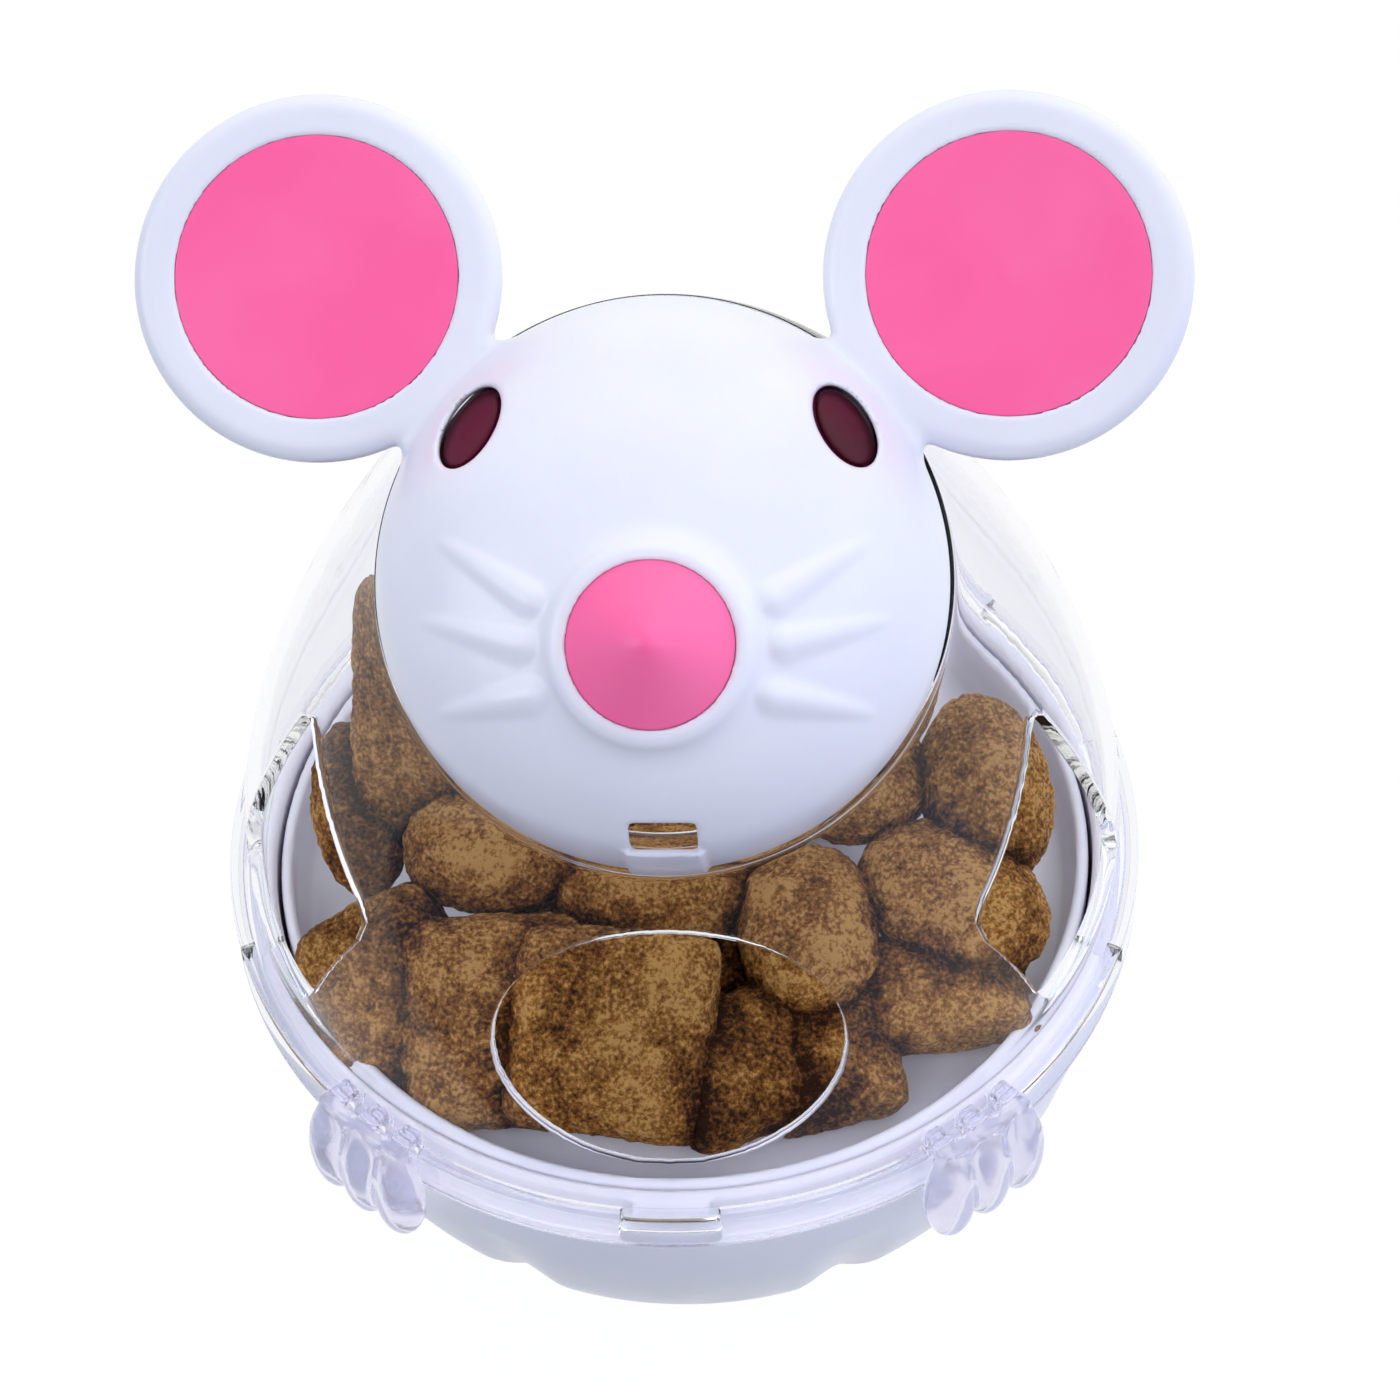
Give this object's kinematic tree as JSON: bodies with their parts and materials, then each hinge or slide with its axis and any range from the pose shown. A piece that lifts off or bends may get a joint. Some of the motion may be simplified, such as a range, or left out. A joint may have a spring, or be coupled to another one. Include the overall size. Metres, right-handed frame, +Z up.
{
  "type": "tumbler treat dispenser toy",
  "caption": "Mouse-shaped tumbler toy that drops treats: weighted bowl, clear cover that clips on, with openings and paws, and a pull-off head with round ears.",
  "frame": {"origin": "middle of the bowl's flat foot, on the surface that the toy stands on", "axes": "+Z up, -Y the way the mouse faces, +X to the right of a viewer who faces the mouse"},
  "size_m": [0.0946, 0.088, 0.1183],
  "materials": {
    "white_plastic": "semi-gloss moulded, cool white",
    "clear_plastic": "clear, polished, faint lavender in thick places",
    "pink_plastic": "satin moulded pink",
    "eye_plastic": "glossy dark red",
    "steel": "plain zinc-plated"
  },
  "bodies": {
    "base": {"base_bowl": "white_plastic", "ballast_weight": "steel", "ballast_washer": "steel", "ballast_screw": "steel", "treat_tray": "white_plastic", "tray_screw_1": "steel", "tray_screw_2": "steel", "tray_screw_3": "steel"},
    "cover": {"clear_cover": "clear_plastic", "front_paw_left": "clear_plastic", "front_paw_right": "clear_plastic"},
    "head": {"head_shell": "white_plastic", "ear_disc_left": "pink_plastic", "ear_disc_right": "pink_plastic", "nose_cone": "pink_plastic", "eye_left": "eye_plastic", "eye_right": "eye_plastic"}
  },
  "joints": [
    {"name": "cover_lift", "type": "slide", "parent": "base", "child": "cover", "axis": [0, 0, 1], "range_m": [0, 0.06]},
    {"name": "head_pull", "type": "slide", "parent": "cover", "child": "head", "axis": [0, -0.6018, 0.7986], "range_m": [0, 0.04]}
  ]
}
